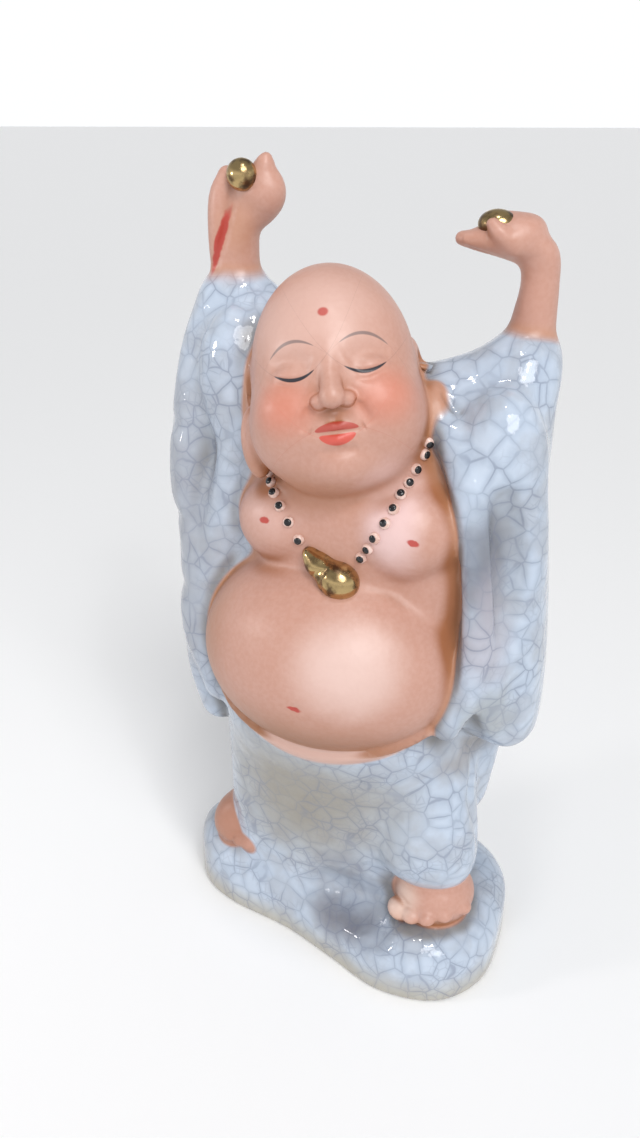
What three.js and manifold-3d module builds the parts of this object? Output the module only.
// Porcelain figure of a pot-bellied buddha with raised arms, cast in one piece with its mound base.
// Millimetres, +Z up. The origin is on the flat underside. The figure faces -Y, and its own left is +X.

import * as THREE from 'three';
import { mergeVertices } from 'three/addons/utils/BufferGeometryUtils.js';
import Module from 'manifold-3d';

// Driving dimensions of the whole figure
const MOUND_HEIGHT = 15;
const HEM_LEVEL = 20;
const WAIST_LEVEL = 57;
const BELLY_LEVEL = 74;
const CHEST_LEVEL = 103;
const HEAD_LEVEL = 131;
const CUFF_LEVEL = 143;
const WRIST_LEVEL = 151;

// The mound: a closed smooth outline in plan, [x, y] from the figure's left side round by the back.
// footShare is how far the flat underside reaches towards the outline, and ridge how much the
// mound rises at its end below the figure's right foot.
const MOUND = {
  outline: [
    [37.8, 2], [36, 14], [28, 22.5], [13, 26.5], [-4, 27], [-20, 23], [-33, 15.5], [-39, 6],
    [-35.5, -3.5], [-26, -9], [-10, -12], [3, -16.5], [16, -21], [29, -19], [36.5, -10],
  ],
  halfLength: 39,
  footShare: 0.95,
  ridge: 2.5,
};

// Cloth: sections are [centre x, centre y, level, half width, half depth], bottom to top
const SKIRT = [
  [0, 4, 6, 27, 16],
  [0, 4, HEM_LEVEL, 27.5, 16],
  [0.5, 3.5, 34, 28, 17.5],
  [0.5, 2.5, 48, 28, 18.5],
  [0.5, 1.5, WAIST_LEVEL + 2, 28, 19],
];
const LEFT_LEG = [
  [21, -3, HEM_LEVEL, 10.5, 8],
  [21, -3.5, 27, 10.5, 9.5],
  [20.5, -3, 40, 10, 10],
  [19, -1, 54, 9, 9],
];
const RIGHT_LEG = [
  [-17, 3, HEM_LEVEL - 5, 9, 9],
  [-17, 2, 27, 10, 11],
  [-16, 1, 40, 10, 11],
  [-15, 1, 54, 9, 10],
];
const COAT_BACK = [
  [1, 10.5, 33, 28.5, 10.5],
  [1.5, 10, 50, 31, 12.5],
  [0.5, 9.5, 68, 34, 12.5],
  [0.5, 9.5, 90, 34, 12],
  [0.5, 9, 110, 32, 11.5],
  [1, 8, 127, 25, 10],
];
const TORSO = [
  [0, 5, 48, 28, 15],
  [0, 5, 66, 31, 16],
  [0, 5, 84, 31, 16],
  [1, 5, 104, 27, 15.5],
  [1.5, 4, 120, 21, 13],
  [1.5, 3, 130, 14, 10],
];
const LEFT_SLEEVE = [
  [34, 4, 56, 5.2, 8],
  [34.8, 4, 66, 5.8, 10],
  [35, 4.5, 80, 5.4, 10.5],
  [34.3, 5, 96, 4.6, 10.5],
  [32.5, 6, 110, 4.4, 10],
  [31, 7, 122, 6, 9.5],
  [30.5, 9, 134, 6.3, 7.5],
  [30.3, 12, CUFF_LEVEL - 2, 4.7, 5],
];
const RIGHT_SLEEVE = [
  [-31, 5, 50, 4.5, 7.5],
  [-33, 5, 62, 6, 10],
  [-33.2, 5.5, 78, 5.6, 11],
  [-33, 6, 92, 6.2, 11],
  [-33.5, 6, 106, 7.6, 11],
  [-32.5, 7, 120, 7.6, 10.5],
  [-31, 8, 134, 6.6, 8.5],
  [-27.5, 9, CUFF_LEVEL + 3, 5, 5.5],
];

// Turned-back edges of the open robe: [x, y, level, half thickness]
const LEFT_EDGE = [
  [19, -7, 126, 3.2],
  [25.5, -8.5, 115, 3.4],
  [27.5, -10, 102, 3.6],
  [29.5, -11, 88, 3.8],
  [28.5, -12.5, 74, 3.8],
  [23, -14, 63, 3.4],
];
const RIGHT_EDGE = [
  [-16.5, -3, 122, 3.2],
  [-20.5, -5, 110, 3.6],
  [-25.5, -5, 98, 4],
  [-29.5, -6, 86, 4],
  [-30, -7, 72, 4],
  [-25, -11, 60, 3.4],
];

// Tops of the shoulders, running out into the sleeves
const LEFT_SHOULDER = [
  [4, 5, 119, 9],
  [14, 5, 124.5, 8.6],
  [23, 7.5, 129.5, 8],
  [29.5, 11, 136, 6],
];
const RIGHT_SHOULDER = [
  [-4, 5, 124, 9],
  [-13, 6, 131, 9],
  [-21, 8, 136.5, 8],
  [-26.5, 9, 142, 5.6],
];

// Bare body
const BELLY = { at: [0, -6, BELLY_LEVEL], size: [27.5, 23, 24.5] };
const CHEST = { at: [3, 0, CHEST_LEVEL], size: [23, 15.5, 23] };
const LEFT_BREAST = { at: [15, -7.5, CHEST_LEVEL + 2], size: [10.5, 9.5, 9.5], turn: [-10, 0, 0] };
const RIGHT_BREAST = { at: [-9.5, -7, CHEST_LEVEL], size: [10, 9, 9], turn: [-10, 0, 0] };
const NAVEL = { at: [0, -29.6, BELLY_LEVEL - 1], size: [1.4, 1.6, 1.1] };
const PENDANT = [
  { at: [3.6, -16, 95.5], size: [4.6, 4, 4.2] },
  { at: [0, -15, 98.5], size: [4, 3, 2.8], turn: [0, 30, 0] },
];

// Head, leaning to the figure's right and back; parts of the face are placed on the head's own axes
const HEAD = { at: [-1, -5, HEAD_LEVEL], size: [15.5, 16.5, 20.3], turn: [-18, -8, 20] };
const JOWL_WIDENING = 0.07;
const FACE = [
  { at: [0, -15.6, -1], size: [2.9, 3, 2.6] },
  { at: [0, -14.5, 3], size: [1.7, 2.4, 4.5] },
  { at: [0, -9.4, -13.6], size: [5.5, 4.2, 4] },
  { at: [7.4, -9.6, -3.5], size: [6, 5.4, 5.6] },
  { at: [-7.4, -9.6, -3.5], size: [6, 5.4, 5.6] },
  { at: [15, 3, 1.5], size: [2.2, 3.4, 6.5] },
  { at: [-15, 3, 1.5], size: [2.2, 3.4, 6.5] },
  { at: [16, 1.5, -7], size: [2.6, 2.8, 5.5] },
  { at: [-16, 1.5, -7], size: [2.6, 2.8, 5.5] },
];

// Feet, turned out
const LEFT_FOOT = { at: [23, -6.5, 16.5], size: [8, 9.5, 4.6], turn: [0, 0, 28] };
const RIGHT_FOOT = { at: [-26.5, 1, 16.5], size: [5.6, 8.5, 4.6], turn: [0, 0, -48] };

// Forearms and hands: [x, y, level, half width, half depth]
const LEFT_FOREARM = [
  [30.5, 12.5, CUFF_LEVEL - 6, 3.8, 4],
  [31.1, 12, CUFF_LEVEL + 2, 3.6, 3.7],
  [30.6, 11.5, WRIST_LEVEL, 3.7, 3.5],
  [28.8, 10.5, WRIST_LEVEL + 4, 3.9, 3.5],
];
const LEFT_HAND = [
  { at: [26.3, 10, 155], size: [5.6, 4.6, 3.9], turn: [0, 22, 0] },
  { at: [21.2, 9, 155], size: [5, 4.4, 2], turn: [0, -8, 0] },
  { at: [29.2, 10.5, 156.2], size: [2.6, 3.8, 2.4] },
];
const LEFT_BALL = { at: [23.8, 8.6, 157.4], size: [2.9, 2.9, 2.4] };
const RIGHT_FOREARM = [
  [-27, 9, CUFF_LEVEL - 2, 4.6, 4.6],
  [-27.4, 8.6, CUFF_LEVEL + 6, 4.5, 4.2],
  [-27.4, 8, WRIST_LEVEL + 3, 4.5, 3.8],
  [-26.6, 8, WRIST_LEVEL + 8, 4.9, 3.6],
];
const RIGHT_HAND = [
  { at: [-25, 8.4, 160], size: [6.4, 3.4, 5.4], turn: [0, 20, 0] },
  { at: [-20.2, 7.6, 162.5], size: [4, 3.4, 5.2], turn: [0, -8, 0] },
  { at: [-30, 7.2, 160.6], size: [2.1, 2.8, 5], turn: [0, 8, 0] },
];
const RIGHT_BALL = { at: [-25, 4.8, 164], size: [3, 3, 3.2] };

// Fineness of the faceting: rings are counted from end to end of a piece
const FINE = { around: 29, rings: 16 };
const MEDIUM = { around: 18, rings: 12 };
const COARSE = { around: 14, rings: 8 };
const SMALL = { around: 10, rings: 7 };
const NARROW = { around: 10, rings: 16 };
const CLOTH_ROUNDNESS = 5;
const LIMB_ROUNDNESS = 4;

const wasm = await Module();
wasm.setup();

function solid(geometry) {
  geometry.deleteAttribute('normal');
  geometry.deleteAttribute('uv');
  const merged = mergeVertices(geometry, 1e-4);
  const mesh = new wasm.Mesh({
    numProp: 3,
    vertProperties: new Float32Array(merged.attributes.position.array),
    triVerts: new Uint32Array(merged.index.array),
  });
  return new wasm.Manifold(mesh);
}

// Moves every vertex of a geometry to the place that a function gives for it
function replaced(geometry, place) {
  const position = geometry.attributes.position;
  const vertex = new THREE.Vector3();
  for (let i = 0; i < position.count; i++) {
    vertex.fromBufferAttribute(position, i);
    const moved = place(vertex);
    position.setXYZ(i, moved.x, moved.y, moved.z);
  }
  return geometry;
}

function turned(degrees = [0, 0, 0]) {
  const radians = degrees.map(THREE.MathUtils.degToRad);
  return new THREE.Matrix4().makeRotationFromEuler(new THREE.Euler(...radians, 'ZYX'));
}

function unitBall(detail) {
  return new THREE.SphereGeometry(1, detail.around, detail.rings).rotateX(Math.PI / 2);
}

// An ellipsoid, with an optional change of shape made before it is sized
function lump({ at, size, turn }, detail, reshape = (direction) => direction) {
  const rotation = turned(turn);
  const centre = new THREE.Vector3(...at);
  const stretch = new THREE.Vector3(...size);
  return solid(replaced(unitBall(detail), (direction) => (
    reshape(direction.clone()).multiply(stretch).applyMatrix4(rotation).add(centre)
  )));
}

// A value between the rows of a table, by a smooth curve through them
function along(rows, column, share) {
  const knots = rows.map((row, i) => new THREE.Vector3(i, row[column], 0));
  return new THREE.CatmullRomCurve3(knots, false, 'catmullrom', 0.5).getPoint(share).y;
}

// How much a section shrinks near the ends of a rounded body, where height runs from -1 to 1
function narrowing(height, roundness) {
  return Math.max(0, 1 - Math.abs(height) ** roundness) ** (1 / roundness);
}

// A rounded body with level sections; fold gives each section's own change of radius by angle
function stack(rows, detail, roundness, fold = () => 1) {
  return solid(replaced(unitBall(detail), (direction) => {
    const share = THREE.MathUtils.clamp((direction.z + 1) / 2, 0, 1);
    const [x, y, level, halfWidth, halfDepth] = [0, 1, 2, 3, 4].map((c) => along(rows, c, share));
    const angle = Math.atan2(direction.y, direction.x);
    const reach = narrowing(direction.z, roundness) * fold(angle, share);
    return new THREE.Vector3(
      x + halfWidth * reach * Math.cos(angle),
      y + halfDepth * reach * Math.sin(angle),
      level,
    );
  }));
}

// A round tube through [x, y, level, half thickness] rows, square to its own path and closed at both ends
function roll(rows, detail) {
  const path = new THREE.CatmullRomCurve3(rows.map(([x, y, z]) => new THREE.Vector3(x, y, z)));
  const thickness = rows.map((row) => [row[3]]);
  const outward = new THREE.Vector3(0, -1, 0);
  return solid(replaced(unitBall(detail), (direction) => {
    const share = THREE.MathUtils.clamp((direction.z + 1) / 2, 0, 1);
    const ahead = path.getTangent(share);
    const side = new THREE.Vector3().crossVectors(outward, ahead).normalize();
    const front = new THREE.Vector3().crossVectors(ahead, side);
    const radius = along(thickness, 0, share) * narrowing(direction.z, LIMB_ROUNDNESS);
    const angle = Math.atan2(direction.y, direction.x);
    return path.getPoint(share)
      .addScaledVector(side, radius * Math.cos(angle))
      .addScaledVector(front, radius * Math.sin(angle));
  }));
}

function mound() {
  const profile = [
    [0, 0], [0.5, 0], [MOUND.footShare, 0], [0.99, 0.06], [1, 0.2], [1, 0.4], [0.975, 0.66],
    [0.92, 0.84], [0.82, 0.95], [0.65, 1], [0.35, 1], [0, 1],
  ].map(([reach, level]) => new THREE.Vector2(reach, level));
  const outline = new THREE.CatmullRomCurve3(MOUND.outline.map(([x, y]) => new THREE.Vector3(x, y, 0)), true);
  const shape = new THREE.LatheGeometry(profile, 48).rotateX(Math.PI / 2);
  return solid(replaced(shape, (point) => {
    const round = (Math.atan2(point.y, point.x) / (2 * Math.PI) + 1) % 1;
    const reach = Math.hypot(point.x, point.y);
    const edge = outline.getPoint(round);
    const swell = MOUND.ridge * reach ** 2 * Math.max(0, -edge.x / MOUND.halfLength);
    return new THREE.Vector3(reach * edge.x, reach * edge.y, point.z * (MOUND_HEIGHT + swell));
  }));
}

// Soft upright folds: a wave round the section that grows from one end of the cloth to the other
function folds(count, depth, phase) {
  return (angle, share) => 1 + depth * (1 - share) * Math.cos(count * angle + phase);
}

function cloth() {
  return [
    stack(SKIRT, FINE, CLOTH_ROUNDNESS, folds(9, 0.03, 0.6)),
    stack(LEFT_LEG, MEDIUM, CLOTH_ROUNDNESS, folds(5, 0.03, 1)),
    stack(RIGHT_LEG, MEDIUM, CLOTH_ROUNDNESS, folds(5, 0.03, 2)),
    stack(COAT_BACK, FINE, CLOTH_ROUNDNESS, folds(10, 0.04, 0)),
    stack(TORSO, FINE, CLOTH_ROUNDNESS, folds(7, 0.02, 1)),
    stack(LEFT_SLEEVE, MEDIUM, CLOTH_ROUNDNESS, folds(4, 0.05, 0.5)),
    stack(RIGHT_SLEEVE, MEDIUM, CLOTH_ROUNDNESS, folds(4, 0.05, 1.5)),
    roll(LEFT_SHOULDER, COARSE),
    roll(RIGHT_SHOULDER, COARSE),
    roll(LEFT_EDGE, NARROW),
    roll(RIGHT_EDGE, NARROW),
  ];
}

function bareBody() {
  return [
    lump(BELLY, FINE),
    lump(CHEST, MEDIUM),
    lump(LEFT_BREAST, COARSE),
    lump(RIGHT_BREAST, COARSE),
    lump(LEFT_FOOT, COARSE),
    lump(RIGHT_FOOT, COARSE),
    ...PENDANT.map((lobe) => lump(lobe, SMALL)),
  ];
}

// Widens the lower half of the head into jowls and narrows the brow
function withJowls(direction) {
  const lowness = Math.sin(-direction.z * Math.PI);
  direction.x *= 1 + JOWL_WIDENING * lowness;
  return direction;
}

function head() {
  const toPlace = turned(HEAD.turn);
  const centre = new THREE.Vector3(...HEAD.at);
  const features = FACE.map(({ at, size }) => {
    const place = new THREE.Vector3(...at).applyMatrix4(toPlace).add(centre);
    return lump({ at: place.toArray(), size, turn: HEAD.turn }, SMALL);
  });
  return [lump(HEAD, MEDIUM, withJowls), ...features];
}

function arms() {
  return [
    stack(LEFT_FOREARM, SMALL, LIMB_ROUNDNESS),
    stack(RIGHT_FOREARM, SMALL, LIMB_ROUNDNESS),
    ...[...LEFT_HAND, ...RIGHT_HAND, LEFT_BALL, RIGHT_BALL].map((part) => lump(part, SMALL)),
  ];
}

function figure() {
  const pieces = [mound(), ...cloth(), ...bareBody(), ...head(), ...arms()];
  const whole = pieces.reduce((sum, piece) => sum.add(piece));
  return whole.subtract(lump(NAVEL, SMALL));
}

function toGeometry(shape) {
  const { vertProperties, triVerts } = shape.getMesh();
  const geometry = new THREE.BufferGeometry();
  geometry.setAttribute('position', new THREE.BufferAttribute(vertProperties, 3));
  geometry.setIndex(new THREE.BufferAttribute(triVerts, 1));
  geometry.computeVertexNormals();
  return geometry;
}

const porcelain = new THREE.MeshStandardMaterial({ color: 0xc9d3dc, roughness: 0.25, metalness: 0 });
const buddha = new THREE.Mesh(toGeometry(figure()), porcelain);
buddha.name = 'buddha_figure';

const group = new THREE.Group();
group.add(buddha);

export default group;
